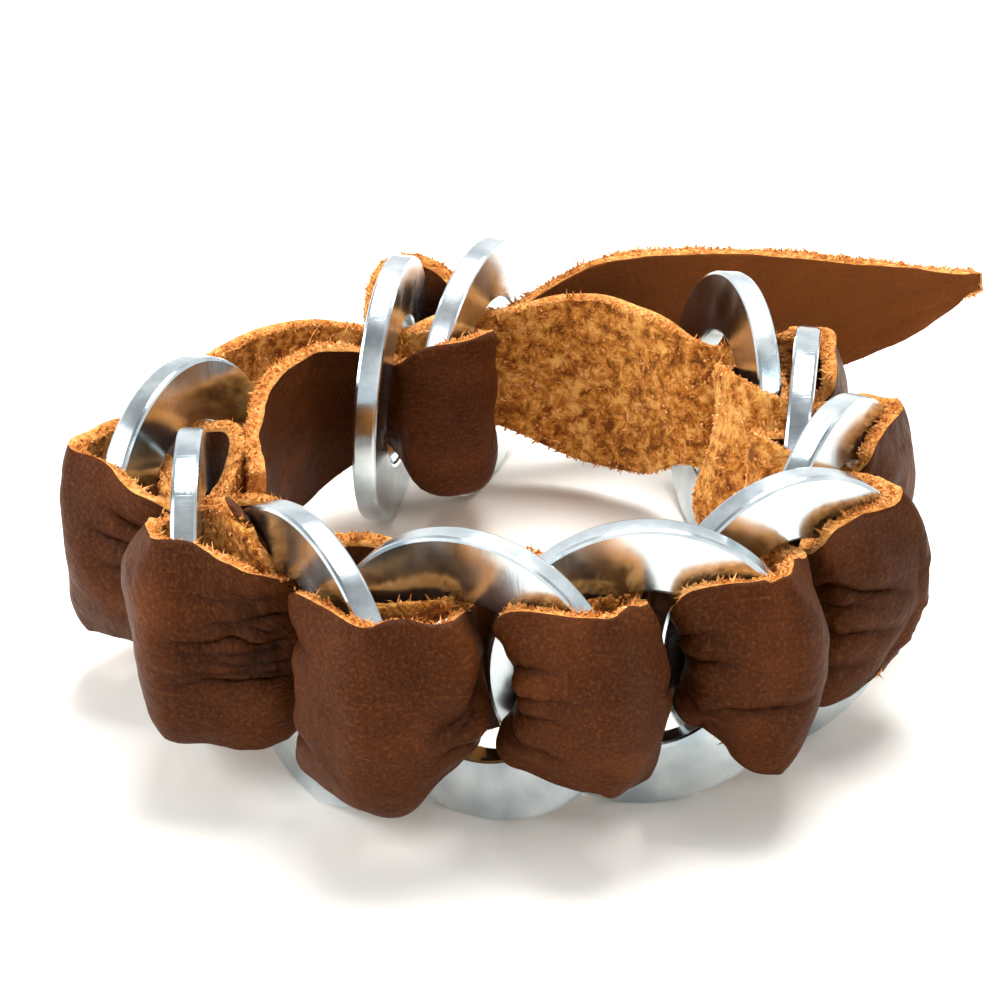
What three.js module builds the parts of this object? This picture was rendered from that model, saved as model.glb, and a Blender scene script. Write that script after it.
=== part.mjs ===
// Leather strap bracelet: nine flat steel washers threaded on one long strap, like scales that
// overlap round the wrist, and two more washers that the strap's two ends close on.
// It lies on its side as a ring. Units are millimetres. +Z is up, the front of the ring faces -Y,
// and the origin is on the ground under the middle of the ring and its free tail.

import * as THREE from 'three';

// ---------------------------------------------------------------- driving dimensions

const WASHER_DIAMETER = 34;
const WASHER_HOLE = 19;
const WASHER_THICKNESS = 3;
const WASHER_SIDES = 48;

const STRAP_THICKNESS = 1.8;
const STRAP_WIDTH = 23;
const PUFF = STRAP_WIDTH / 2;          // half the strap where it lies open
const PINCH = 7.2;                     // half the strap where a washer's hole squeezes it

const RING_SHIFT_X = -5.99;            // moves the ring so that ring and tail share one middle
const RING_SHIFT_Y = -1.15;

const COLUMNS = [-1, -0.55, 0, 0.55, 1];   // across the strap, from its lower to its upper edge
const STEP_LENGTH = 4.5;                   // longest step along a straight stretch of strap
const STEP_TURN = 24;                      // and the most that a step turns, in degrees

// The washers that are threaded in a row, in the order that the strap reaches them: left, front,
// right. x and y place the centre from the middle of the ring. heading is the direction of the
// leading edge, in degrees from +X. lean tips the top outwards, away from the wrist.
const THREADED_WASHERS = [
  { name: 'washer_1', x: -37.0, y: 1.8, heading: -117, lean: 4 },
  { name: 'washer_2', x: -34.3, y: -17.5, heading: -88, lean: 0 },
  { name: 'washer_3', x: -20.6, y: -34.0, heading: -56, lean: 1 },
  { name: 'washer_4', x: -2.8, y: -38.4, heading: -25, lean: 0 },
  { name: 'washer_5', x: 15.5, y: -36.0, heading: 0.5, lean: 0 },
  { name: 'washer_6', x: 31.1, y: -25.1, heading: 30, lean: 0 },
  { name: 'washer_7', x: 37.7, y: -8.1, heading: 60.5, lean: 0 },
  { name: 'washer_8', x: 35.7, y: 9.9, heading: 82, lean: 2 },
  { name: 'washer_9', x: 27.9, y: 26.5, heading: 104, lean: 8 },
];

// The two washers of the closure stand side by side at the back. heading is the direction of the
// edge that points away from the front, in degrees from +X.
const CLOSURE_WASHERS = [
  { name: 'closure_washer_left', x: -13.8, y: 31.8, heading: 80, lean: 2 },
  { name: 'closure_washer_right', x: -2.6, y: 38.1, heading: 67, lean: 2 },
];

// How the strap laces one overlap, from the washer here to the next one. Every row is a place on
// the strap's middle line: from says which washer it is measured from, along runs to that
// washer's leading edge and out to the outside of the ring. half is half the strap's width, bow
// carries its two long edges along the washer, and lift raises it.
const OVERLAP_LACING = [
  { from: 'next', along: -19.2, out: 1.0, half: 8.0, bow: 0.6, lift: 0 },
  { from: 'next', along: -17.8, out: -3.2, half: 9.2, bow: 0, lift: 0 },
  { from: 'next', along: -13.4, out: -4.8, half: 9.8, bow: 0, lift: 0 },
  { from: 'next', along: -9.8, out: -4.0, half: 8.0, bow: 1.2, lift: 0 },
  { from: 'next', along: -7.6, out: -2.0, half: 6.7, bow: 3.2, lift: 0 },
  { from: 'next', along: -7.3, out: 0, half: 6.8, bow: 3.2, lift: 0 },
  { from: 'next', along: -7.7, out: 2.0, half: 6.6, bow: 3.0, lift: 0 },
  { from: 'next', along: -9.8, out: 2.9, half: 6.2, bow: 0.4, lift: 0 },
  { from: 'next', along: -13.4, out: 2.9, half: 5.2, bow: -1.8, lift: 0 },
  { from: 'here', along: 4.2, out: 0.2, half: 5.2, bow: -1.8, lift: 0 },
  { from: 'here', along: 6.0, out: 3.7, half: 7.8, bow: -1.0, lift: 0 },
  { from: 'here', along: 9.6, out: 5.4, half: 10.6, bow: 0, lift: -0.3 },
  { from: 'here', along: 14.0, out: 5.8, half: PUFF, bow: 0, lift: -0.5 },
  { from: 'here', along: 18.0, out: 3.8, half: 11.0, bow: 0, lift: -0.3 },
  { from: 'here', along: 19.0, out: -0.6, half: 9.4, bow: 0, lift: 0 },
  { from: 'next', along: -0.2, out: 2.8, half: 7.2, bow: 0, lift: 0 },
  { from: 'next', along: -0.8, out: -0.2, half: 6.8, bow: 0.4, lift: 0 },
];

// The short end: from its cut end inside the left of the ring to the closure, round the near
// limb of the right closure washer, and back outside the ring into the first washer. Rows with
// from are measured from that washer, the others from the middle of the ring.
const SHORT_END = [
  { x: -25.0, y: -12.0, half: 8.6, bow: 0, lift: 0.5 },
  { x: -26.4, y: -5.0, half: 9.6, bow: 0, lift: 0 },
  { x: -27.0, y: 3.0, half: 10.0, bow: 0, lift: 0 },
  { x: -26.8, y: 11.0, half: 10.2, bow: 0, lift: 0 },
  { x: -25.4, y: 18.6, half: 10.0, bow: 0, lift: 0 },
  { x: -22.4, y: 24.2, half: 9.6, bow: 0, lift: 0 },
  { x: -18.4, y: 27.2, half: 7.8, bow: 0, lift: 0 },
  { from: 'left', along: -3.9, out: 0, half: 5.7, bow: 2.0, lift: 0 },
  { x: -12.1, y: 23.0, half: 5.7, bow: 0, lift: 0 },
  { x: -9.9, y: 19.8, half: 10.2, bow: 0, lift: 0 },
  { x: -5.6, y: 20.6, half: 10.8, bow: 0, lift: 0 },
  { x: -2.2, y: 24.4, half: 10.4, bow: 0, lift: 0 },
  { x: -1.2, y: 29.6, half: 8.8, bow: 0, lift: 0 },
  { from: 'right', along: -4.5, out: 0, half: 5.8, bow: 1.9, lift: 0 },
  { x: -8.6, y: 33.2, half: 7.6, bow: 0, lift: 0 },
  { from: 'left', along: 0.5, out: 0, half: PINCH, bow: 0.2, lift: 0 },
  { x: -18.6, y: 32.4, half: 8.4, bow: 0, lift: 0.4 },
  { x: -24.6, y: 29.6, half: 9.6, bow: 0, lift: 0.6 },
  { x: -30.8, y: 24.8, half: 10.0, bow: 0, lift: 0.6 },
  { x: -35.6, y: 18.4, half: 10.0, bow: 0, lift: 0.4 },
  { x: -39.0, y: 11.0, half: 9.4, bow: 0, lift: 0 },
  { from: 'first', along: -1.4, out: 3.2, half: 8.2, bow: 0, lift: 0 },
  { from: 'first', along: -1.0, out: -0.2, half: 6.8, bow: 0.5, lift: 0 },
];

// The long end: out of the last washer, through both closure washers, round the far limb of the
// left one, back through the right one, and away as a free tail cut to a point.
const LONG_END = [
  { from: 'last', along: 1.4, out: -3.8, half: 7.6, bow: 0, lift: 0 },
  { x: 20.6, y: 29.8, half: 10.8, bow: 0, lift: -0.4 },
  { x: 15.2, y: 34.4, half: PUFF, bow: 0, lift: -0.8 },
  { x: 9.4, y: 37.0, half: PUFF, bow: 0, lift: -0.8 },
  { x: 3.4, y: 38.2, half: 9.0, bow: 0, lift: -0.4 },
  { from: 'right', along: 0.4, out: 0, half: PINCH, bow: 0, lift: 0 },
  { x: -8.2, y: 37.8, half: 7.2, bow: 0, lift: 0 },
  { from: 'left', along: 4.8, out: 0, half: 6.0, bow: -2.0, lift: 0 },
  { x: -16.6, y: 40.0, half: 7.4, bow: 0, lift: 0 },
  { x: -15.9, y: 46.4, half: 9.8, bow: 0, lift: 0 },
  { x: -12.4, y: 50.8, half: 10.2, bow: 0, lift: 0 },
  { x: -7.8, y: 49.2, half: 9.6, bow: 0, lift: 0 },
  { x: -5.2, y: 44.8, half: 7.8, bow: 0, lift: 0 },
  { from: 'right', along: 4.6, out: 0, half: 5.8, bow: -1.8, lift: 0 },
  { x: 4.6, y: 44.0, half: 7.8, bow: 0, lift: 0 },
  { x: 12.6, y: 47.4, half: 11.0, bow: 0, lift: 0 },
  { x: 23.0, y: 49.6, half: PUFF, bow: 0, lift: -0.2 },
  { x: 34.0, y: 49.4, half: PUFF, bow: 0, lift: -0.2 },
  { x: 43.0, y: 47.6, half: 8.2, bow: 0, lift: 3.0 },
  { x: 52.0, y: 45.2, half: 5.4, bow: 0, lift: 5.8 },
  { x: 62.0, y: 42.4, half: 1.0, bow: 0, lift: 10.2 },
];

// ---------------------------------------------------------------- materials

const zincPlatedSteel = new THREE.MeshStandardMaterial({ color: '#d9e2e8', roughness: 0.25, metalness: 1 });
const strapLeather = new THREE.MeshStandardMaterial({ color: '#6b3a22', roughness: 0.6, metalness: 0 });

// ---------------------------------------------------------------- washers

// A washer's own directions: along its face, out of the ring, and up its height.
function washerFrame({ x, y, heading, lean }) {
  const turn = THREE.MathUtils.degToRad(heading);
  const tip = THREE.MathUtils.degToRad(lean);
  const along = new THREE.Vector3(Math.cos(turn), Math.sin(turn), 0);
  const flatOut = new THREE.Vector3(Math.sin(turn), -Math.cos(turn), 0);
  const height = (WASHER_DIAMETER * Math.cos(tip) + WASHER_THICKNESS * Math.abs(Math.sin(tip))) / 2;
  const out = flatOut.clone().multiplyScalar(Math.cos(tip)).setZ(-Math.sin(tip));
  return {
    centre: new THREE.Vector3(x, y, height),
    along,
    out,
    up: new THREE.Vector3().crossVectors(out, along),
  };
}

function makeWasherGeometry() {
  const cornerOut = 1 / Math.cos(Math.PI / WASHER_SIDES);   // so that the flats lie on the true rim
  const outer = (WASHER_DIAMETER / 2) * cornerOut;
  const inner = WASHER_HOLE / 2;
  const half = WASHER_THICKNESS / 2;
  const section = [[inner, -half], [outer, -half], [outer, half], [inner, half], [inner, -half]];
  const geometry = new THREE.LatheGeometry(section.map(([r, h]) => new THREE.Vector2(r, h)), WASHER_SIDES);
  return geometry.rotateY(Math.PI / WASHER_SIDES);
}

function makeWasher(name, frame) {
  const washer = new THREE.Mesh(makeWasherGeometry(), zincPlatedSteel);
  washer.name = name;
  washer.quaternion.setFromRotationMatrix(new THREE.Matrix4().makeBasis(frame.up, frame.out, frame.along));
  washer.position.copy(frame.centre);
  return washer;
}

// ---------------------------------------------------------------- strap

// A row of the tables as a place in the ring: middle line, half width, bow, and the way up across
// the strap, which leans as the row's washer does.
function placeRow(row, frames) {
  if (!row.from) {
    const middle = new THREE.Vector3(row.x, row.y, WASHER_DIAMETER / 2 + row.lift);
    return { middle, bow: new THREE.Vector3(), up: new THREE.Vector3(0, 0, 1), half: row.half };
  }
  const { centre, along, out, up } = frames[row.from];
  const middle = centre.clone().addScaledVector(along, row.along).addScaledVector(out, row.out);
  middle.addScaledVector(up, row.lift);
  return { middle, bow: along.clone().multiplyScalar(row.bow), up, half: row.half };
}

function strapRows(threaded, closure) {
  const ends = {
    left: closure[0],
    right: closure[1],
    first: threaded[0],
    last: threaded[threaded.length - 1],
  };
  const rows = SHORT_END.map((row) => placeRow(row, ends));
  for (let i = 0; i + 1 < threaded.length; i += 1) {
    const pair = { here: threaded[i], next: threaded[i + 1] };
    rows.push(...OVERLAP_LACING.map((row) => placeRow(row, pair)));
  }
  rows.push(...LONG_END.map((row) => placeRow(row, ends)));
  return rows;
}

// Stations along the strap: closer together where it turns sharply.
function strapStations(rows) {
  const middles = new THREE.CatmullRomCurve3(rows.map((row) => row.middle), false, 'centripetal');
  const bows = new THREE.CatmullRomCurve3(rows.map((row) => row.bow));
  const ups = new THREE.CatmullRomCurve3(rows.map((row) => row.up.clone().multiplyScalar(row.half)));
  const spans = rows.length - 1;
  const stations = [];
  for (let span = 0; span < spans; span += 1) {
    const turn = middles.getTangent(span / spans).angleTo(middles.getTangent((span + 1) / spans));
    const length = rows[span].middle.distanceTo(rows[span + 1].middle);
    const steps = Math.ceil(Math.max(length / STEP_LENGTH, THREE.MathUtils.radToDeg(turn) / STEP_TURN));
    const last = span === spans - 1 ? steps : steps - 1;
    for (let step = 0; step <= last; step += 1) {
      const t = (span + step / steps) / spans;
      stations.push({ middle: middles.getPoint(t), bow: bows.getPoint(t), up: ups.getPoint(t) });
    }
  }
  return stations;
}

// The strap's mid surface: one row of points across the strap at each station.
function strapMidSurface(stations) {
  return stations.map(({ middle, bow, up }) => COLUMNS.map((across) => {
    return middle.clone().addScaledVector(bow, across * across).addScaledVector(up, across);
  }));
}

function surfaceNormal(grid, i, j) {
  const before = grid[Math.max(i - 1, 0)][j];
  const after = grid[Math.min(i + 1, grid.length - 1)][j];
  const below = grid[i][Math.max(j - 1, 0)];
  const above = grid[i][Math.min(j + 1, COLUMNS.length - 1)];
  const run = after.clone().sub(before);
  const rise = above.clone().sub(below);
  return run.cross(rise).normalize();
}

// Both faces of the leather, its two long edges and its two cut ends, as one closed body.
function makeStrapGeometry(grid) {
  const positions = [];
  const indices = [];
  const across = COLUMNS.length;
  const half = STRAP_THICKNESS / 2;
  for (const side of [half, -half]) {
    grid.forEach((line, i) => line.forEach((point, j) => {
      const place = point.clone().addScaledVector(surfaceNormal(grid, i, j), side);
      positions.push(place.x, place.y, place.z);
    }));
  }
  const backStart = grid.length * across;
  const front = (i, j) => i * across + j;
  const back = (i, j) => backStart + i * across + j;
  const addQuad = (a, b, c, d) => indices.push(a, b, c, a, c, d);
  const top = across - 1;
  const end = grid.length - 1;
  for (let i = 0; i < end; i += 1) {
    for (let j = 0; j < top; j += 1) {
      addQuad(front(i, j), front(i + 1, j), front(i + 1, j + 1), front(i, j + 1));
      addQuad(back(i, j), back(i, j + 1), back(i + 1, j + 1), back(i + 1, j));
    }
    addQuad(back(i, 0), back(i + 1, 0), front(i + 1, 0), front(i, 0));
    addQuad(front(i, top), front(i + 1, top), back(i + 1, top), back(i, top));
  }
  for (let j = 0; j < top; j += 1) {
    addQuad(back(0, j), front(0, j), front(0, j + 1), back(0, j + 1));
    addQuad(front(end, j), back(end, j), back(end, j + 1), front(end, j + 1));
  }
  const geometry = new THREE.BufferGeometry();
  geometry.setAttribute('position', new THREE.Float32BufferAttribute(positions, 3));
  geometry.setIndex(indices);
  geometry.computeVertexNormals();
  return geometry;
}

function makeStrap(threaded, closure) {
  const stations = strapStations(strapRows(threaded, closure));
  const strap = new THREE.Mesh(makeStrapGeometry(strapMidSurface(stations)), strapLeather);
  strap.name = 'strap';
  return strap;
}

// ---------------------------------------------------------------- bracelet

const threadedFrames = THREADED_WASHERS.map(washerFrame);
const closureFrames = CLOSURE_WASHERS.map(washerFrame);

const bracelet = new THREE.Group();
bracelet.position.set(RING_SHIFT_X, RING_SHIFT_Y, 0);
THREADED_WASHERS.forEach((row, i) => bracelet.add(makeWasher(row.name, threadedFrames[i])));
CLOSURE_WASHERS.forEach((row, i) => bracelet.add(makeWasher(row.name, closureFrames[i])));
bracelet.add(makeStrap(threadedFrames, closureFrames));

export default bracelet;
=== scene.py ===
# %% [markdown]
# # A leather strap bracelet threaded through steel washers
# One long leather strap is laced through nine flat washers that overlap like scales, and its two
# ends close on two more. The steel is hard and exact; the leather is soft, squeezed where it goes
# through a hole and puffed out where it is free. So the washers are turned as plain rings, and
# nearly all the work goes into the strap: its route, its pleats, its rough flesh side and its fuzz.
# Lengths in the tables are millimetres. The model itself is in metres.

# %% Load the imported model, and keep the size of its box
import math

import bmesh
import bpy
import numpy as np
from mathutils import Matrix, Vector, noise


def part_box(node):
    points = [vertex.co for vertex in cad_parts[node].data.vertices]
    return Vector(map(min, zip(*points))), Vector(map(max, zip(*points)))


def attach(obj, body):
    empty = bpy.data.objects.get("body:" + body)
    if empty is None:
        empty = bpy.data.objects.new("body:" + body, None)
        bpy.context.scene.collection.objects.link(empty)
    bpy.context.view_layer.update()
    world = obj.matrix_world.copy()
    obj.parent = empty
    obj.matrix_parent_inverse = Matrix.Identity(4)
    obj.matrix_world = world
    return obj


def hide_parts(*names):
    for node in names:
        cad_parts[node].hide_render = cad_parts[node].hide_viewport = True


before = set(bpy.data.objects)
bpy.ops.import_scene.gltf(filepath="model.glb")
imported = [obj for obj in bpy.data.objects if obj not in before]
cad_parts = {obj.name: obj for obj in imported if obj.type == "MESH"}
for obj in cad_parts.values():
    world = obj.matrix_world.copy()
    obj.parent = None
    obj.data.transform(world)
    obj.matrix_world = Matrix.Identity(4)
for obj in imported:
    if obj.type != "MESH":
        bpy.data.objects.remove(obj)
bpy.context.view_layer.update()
MM = 0.001
scene = bpy.context.scene

# %% [markdown]
# ## Small helpers
# Colours are chosen as the hex values that a screen shows, but a shader works in linear light, so
# one function turns one into the other. Another adds a node with its settings and its links, which
# keeps each material below as a short list of what it is made of. A third turns a real size in
# millimetres into the Scale of a noise or Voronoi node, which counts hills or cells in a metre.


# %% Colour and node helpers
def colour(hex_value):
    """A screen colour such as "#6B3A22" as linear red, green, blue and alpha."""
    parts = [int(hex_value[i:i + 2], 16) / 255 for i in (1, 3, 5)]
    return [p / 12.92 if p <= 0.04045 else ((p + 0.055) / 1.055) ** 2.4 for p in parts] + [1.0]


def add_node(material, kind, values=None, links=None, **options):
    """Adds a node: options are its own settings, values fill sockets, links join them."""
    node = material.node_tree.nodes.new(kind)
    for name, value in options.items():
        setattr(node, name, value)
    for name, value in (values or {}).items():
        node.inputs[name].default_value = value
    for name, socket in (links or {}).items():
        material.node_tree.links.new(socket, node.inputs[name])
    return node


def scale_for(size):
    """The Scale that makes a pattern's hills or cells this many millimetres across."""
    return 1 / (size * MM)


def new_material(name):
    """A new material, and the shader in it."""
    material = bpy.data.materials.new(name)
    material.use_nodes = True
    return material, material.node_tree.nodes["Principled BSDF"]


def ramp(material, factor, stops):
    """A colour ramp from (place, hex colour) stops."""
    node = add_node(material, "ShaderNodeValToRGB", links={"Fac": factor})
    elements = node.color_ramp.elements
    while len(elements) < len(stops):
        elements.new(0.5)
    for element, (place, hex_value) in zip(elements, stops):
        element.position = place
        element.color = colour(hex_value)
    return node.outputs["Color"]


def mix(material, factor, first, second):
    """Mixes two colours. factor, first and second are sockets, numbers or hex colours."""
    node = add_node(material, "ShaderNodeMix", data_type="RGBA")
    for socket, value in ((node.inputs[0], factor), (node.inputs[6], first), (node.inputs[7], second)):
        if isinstance(value, bpy.types.NodeSocket):
            material.node_tree.links.new(value, socket)
        else:
            socket.default_value = colour(value) if isinstance(value, str) else value
    return node.outputs[2]


def calculate(material, operation, first, second, **options):
    """One calculation on two values, each a socket or a number."""
    node = add_node(material, "ShaderNodeMath", operation=operation, **options)
    for socket, value in zip(node.inputs, (first, second)):
        if isinstance(value, bpy.types.NodeSocket):
            material.node_tree.links.new(value, socket)
        else:
            socket.default_value = value
    return node.outputs[0]


# %% [markdown]
# ## Camera, floor and light
# The bracelet lies on a pale table in a bright, soft studio. The camera looks down on it at about
# 28 degrees from the front through a long lens. Bright metal shows what is round it, so the light
# decides how the washers look. Most of it comes from a white sky that is bright at the sides, which
# whitens the rims, and dim overhead, which leaves grey in the flat faces. Two soft lamps add the
# shadow under the ring and a little more light from the left.

# %% Camera
RING_MIDDLE = Vector((-5.99, -1.15, 0.0)) * MM      # where the ring's middle is in the CAD frame
CAMERA_PLACE = RING_MIDDLE + Vector((0.0, -304.8, 179.1)) * MM
CAMERA_AIM = RING_MIDDLE + Vector((0.0, 33.5, 0.0)) * MM

camera = bpy.data.objects.new("camera", bpy.data.cameras.new("camera"))
camera.data.lens = 105.47
camera.data.sensor_width = 36.0
camera.data.clip_start = 0.01
camera.location = CAMERA_PLACE
camera.rotation_euler = (CAMERA_AIM - CAMERA_PLACE).to_track_quat("-Z", "Y").to_euler()
scene.collection.objects.link(camera)
scene.camera = camera
print("camera is", round((CAMERA_AIM - CAMERA_PLACE).length / MM), "mm from what it looks at")

# %% Floor
FLOOR_HALF = 1.5

bm = bmesh.new()
bmesh.ops.create_grid(bm, x_segments=1, y_segments=1, size=FLOOR_HALF)
floor_mesh = bpy.data.meshes.new("floor")
bm.to_mesh(floor_mesh)
bm.free()
floor = bpy.data.objects.new("floor", floor_mesh)
scene.collection.objects.link(floor)

material, shader = new_material("matte_table_top")
shader.inputs["Base Color"].default_value = colour("#F5F2EA")
shader.inputs["Roughness"].default_value = 0.7
floor_mesh.materials.append(material)
print("floor is", 2 * FLOOR_HALF, "m wide")

# %% Light
world = bpy.data.worlds.new("studio")
scene.world = world
world.use_nodes = True
sky = world.node_tree.nodes["Background"]
toward = add_node(world, "ShaderNodeTexCoord").outputs["Generated"]
height = add_node(world, "ShaderNodeSeparateXYZ", links={"Vector": toward}).outputs["Z"]
sky_strength = add_node(world, "ShaderNodeMapRange",
                        {"From Min": 0.45, "From Max": 0.9, "To Min": 1.15, "To Max": 0.35},
                        {"Value": height})
world.node_tree.links.new(sky_strength.outputs["Result"], sky.inputs["Strength"])
sky.inputs["Color"].default_value = colour("#FFFFFF")

LIGHTS = [
    # name, place and aim in metres, width and depth in metres, watts, colour
    ("overhead", (0.05, 0.20, 0.55), (0.0, 0.0, 0.0), 0.35, 0.3, 5.8, "#FFFFFF"),
    ("left_window", (-0.55, -0.15, 0.35), (0.0, 0.0, 0.01), 0.4, 0.4, 3.0, "#F8FAFF"),
]
for name, place, aim, width, depth, watts, tint in LIGHTS:
    lamp = bpy.data.lights.new(name, "AREA")
    lamp.shape = "RECTANGLE"
    lamp.size = width
    lamp.size_y = depth
    lamp.energy = watts
    lamp.color = colour(tint)[:3]
    lamp_object = bpy.data.objects.new(name, lamp)
    lamp_object.location = place
    lamp_object.rotation_euler = (Vector(aim) - Vector(place)).to_track_quat("-Z", "Y").to_euler()
    scene.collection.objects.link(lamp_object)
scene.view_settings.view_transform = "Standard"
print("lit by the sky and", [row[0] for row in LIGHTS])

# %% [markdown]
# ## Where the washers are
# Every washer is found from its CAD node: its middle is the middle of the node's box, and its axis
# is the direction in which its points spread least. From those come its own three directions, which
# the strap's route is measured in: along its face, out of the ring, and up.

# %% Measure the washers
THREADED = [f"washer_{n}" for n in range(1, 10)]
CLOSURE = ["closure_washer_left", "closure_washer_right"]
WASHER_RADIUS = 17.0
HOLE_RADIUS = 9.5
WASHER_HALF = 1.5


class WasherPlace:
    """A washer's middle and its own directions, in millimetres."""

    def __init__(self, name, outward):
        low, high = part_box(name)
        points = np.array([v.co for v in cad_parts[name].data.vertices])
        self.name = name
        self.centre = (np.array(low) + np.array(high)) / 2 / MM
        self.out = np.linalg.eigh(np.cov(points.T))[1][:, 0]
        self.out *= math.copysign(1.0, self.out @ outward(self.centre))
        self.along = np.array([-self.out[1], self.out[0], 0.0])
        self.along /= np.linalg.norm(self.along)
        self.up = np.cross(self.out, self.along)

    def at(self, along, out, lift=0.0):
        """A place measured from the washer's middle, along its face, out of the ring and up."""
        return self.centre + self.along * along + self.out * out + self.up * lift

    def matrix(self):
        """Turns a ring made round Z to stand where this washer is, and never mirrors it."""
        axes = Matrix([self.along, self.up, self.out]).transposed().to_4x4()
        return Matrix.Translation(Vector(self.centre * MM)) @ axes


ring_middle = np.array(RING_MIDDLE) / MM
threaded = [WasherPlace(n, lambda centre: centre - ring_middle) for n in THREADED]
closure = [WasherPlace(n, lambda centre: np.array([1.0, 0.0, 0.0])) for n in CLOSURE]
for spot in threaded + closure:
    heading = math.degrees(math.atan2(spot.along[1], spot.along[0]))
    print(spot.name, np.round(spot.centre, 1), "heading", round(heading, 1))

# %% [markdown]
# ## The washers
# A flat washer is punched out of sheet steel, so one side keeps a slightly rounded edge and all its
# corners are broken. It could be a cylinder with a hole cut in it, but a cut leaves a poor mesh.
# Here half of its section is drawn with those small bevels and spun once round its axis. A spin can
# turn a shape inside out, so the normals are worked out afresh after it.


# %% Turn one washer
def spin_washer(corner=0.45, steps=144):
    """A flat ring round Z with its edges broken."""
    corners = [(HOLE_RADIUS, -WASHER_HALF), (WASHER_RADIUS, -WASHER_HALF),
               (WASHER_RADIUS, WASHER_HALF), (HOLE_RADIUS, WASHER_HALF)]
    bm = bmesh.new()
    bm.faces.new([bm.verts.new((r * MM, 0.0, h * MM)) for r, h in corners])
    bmesh.ops.bevel(bm, geom=list(bm.verts), offset=corner * MM, affect="VERTICES", segments=2,
                    profile=0.5, material=-1)
    bmesh.ops.delete(bm, geom=list(bm.faces), context="FACES_ONLY")
    bmesh.ops.spin(bm, geom=list(bm.verts) + list(bm.edges), cent=(0, 0, 0), axis=(0, 0, 1),
                   angle=2 * math.pi, steps=steps, use_merge=True)
    bmesh.ops.remove_doubles(bm, verts=list(bm.verts), dist=1e-6)
    bmesh.ops.recalc_face_normals(bm, faces=list(bm.faces))
    return bm


def add_piece(name, bm, smooth_angle=None):
    """Makes a bmesh an object at the origin, smooth but for edges sharper than smooth_angle."""
    mesh = bpy.data.meshes.new(name)
    bm.to_mesh(mesh)
    bm.free()
    if smooth_angle is not None:
        mesh.shade_smooth()
        mesh.set_sharp_from_angle(angle=math.radians(smooth_angle))
    piece = bpy.data.objects.new(name, mesh)
    scene.collection.objects.link(piece)
    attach(piece, "root")
    return piece


washers = []
for spot in threaded + closure:
    bm = spin_washer()
    bm.transform(spot.matrix())
    washer = add_piece(f"{spot.name}_ring", bm, smooth_angle=20)
    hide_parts(spot.name)
    washers.append(washer)
print(len(washers), "washers of", len(washers[0].data.polygons), "faces")

# %% [markdown]
# ## Zinc-plated steel
# Clear-passivated zinc on punched steel: a bright, slightly blue, silvery metal. The plating is
# smooth but thin, so it shows the fine scratches of the sheet below, and small pits and specks. As a
# metal it has no colour but that of its reflections, so its roughness matters more than its tone.

# %% Zinc plating
zinc, shader = new_material("clear_passivated_zinc_plate")
shader.inputs["Metallic"].default_value = 1.0
CLOUD_SIZE = 6.25
PIT_SPACING = 3.846
SCRATCH_LENGTH = 3.846
SCRATCH_WIDTH = 0.25       # real ones are finer, and would not show
where = add_node(zinc, "ShaderNodeTexCoord").outputs["Object"]
cloud = add_node(zinc, "ShaderNodeTexNoise", {"Scale": scale_for(CLOUD_SIZE), "Detail": 6.0},
                 {"Vector": where})
silver = ramp(zinc, cloud.outputs["Fac"], [(0.35, "#AEBBC1"), (0.65, "#E2EAED")])
pits = add_node(zinc, "ShaderNodeTexVoronoi", {"Scale": scale_for(PIT_SPACING), "Randomness": 1.0},
                {"Vector": where})
pit = add_node(zinc, "ShaderNodeMapRange",
               {"From Min": 0.05, "From Max": 0.11, "To Min": 1.0, "To Max": 0.0},
               {"Value": pits.outputs["Distance"]})
pitted = add_node(zinc, "ShaderNodeTexNoise", {"Scale": scale_for(CLOUD_SIZE)}, {"Vector": where})
rare = calculate(zinc, "GREATER_THAN", pitted.outputs["Fac"], 0.66)
speck = calculate(zinc, "MULTIPLY", pit.outputs["Result"], rare)
zinc.node_tree.links.new(mix(zinc, speck, silver, "#3C4044"), shader.inputs["Base Color"])
scratch_scale = [scale_for(size) for size in (SCRATCH_LENGTH, SCRATCH_WIDTH, SCRATCH_LENGTH)]
stretch = add_node(zinc, "ShaderNodeMapping", {"Scale": scratch_scale}, {"Vector": where})
scratch = add_node(zinc, "ShaderNodeTexNoise", {"Scale": 1.0, "Detail": 2.0},
                   {"Vector": stretch.outputs["Vector"]})
rough = add_node(zinc, "ShaderNodeMapRange",
                 {"From Min": 0.3, "From Max": 0.75, "To Min": 0.13, "To Max": 0.32},
                 {"Value": cloud.outputs["Fac"]})
zinc.node_tree.links.new(rough.outputs["Result"], shader.inputs["Roughness"])
bump = add_node(zinc, "ShaderNodeBump", {"Strength": 0.12, "Distance": 0.1 * MM},
                {"Height": scratch.outputs["Fac"]})
zinc.node_tree.links.new(bump.outputs["Normal"], shader.inputs["Normal"])
for washer in washers:
    washer.data.materials.append(zinc)
print("washers are", zinc.name, "with scratches", SCRATCH_WIDTH, "mm wide")

# %% [markdown]
# ## The strap's route
# The strap is one flat strip of leather, 23 mm wide. It could be draped by a cloth simulation, but
# it was pulled through eleven holes by hand, and no simulation finds that. So the route is given as
# places on the strap's middle line, each measured from the washer it passes, and a smooth curve is
# drawn through them. Each place also says how wide the strap is there and how its edges curl.
# At every overlap it comes out through the hole of one washer, puffs out over that washer's leading
# limb, and goes in through the hole of the next. There it folds back inside the ring, and passes
# between the two washers to come out again.

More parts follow.
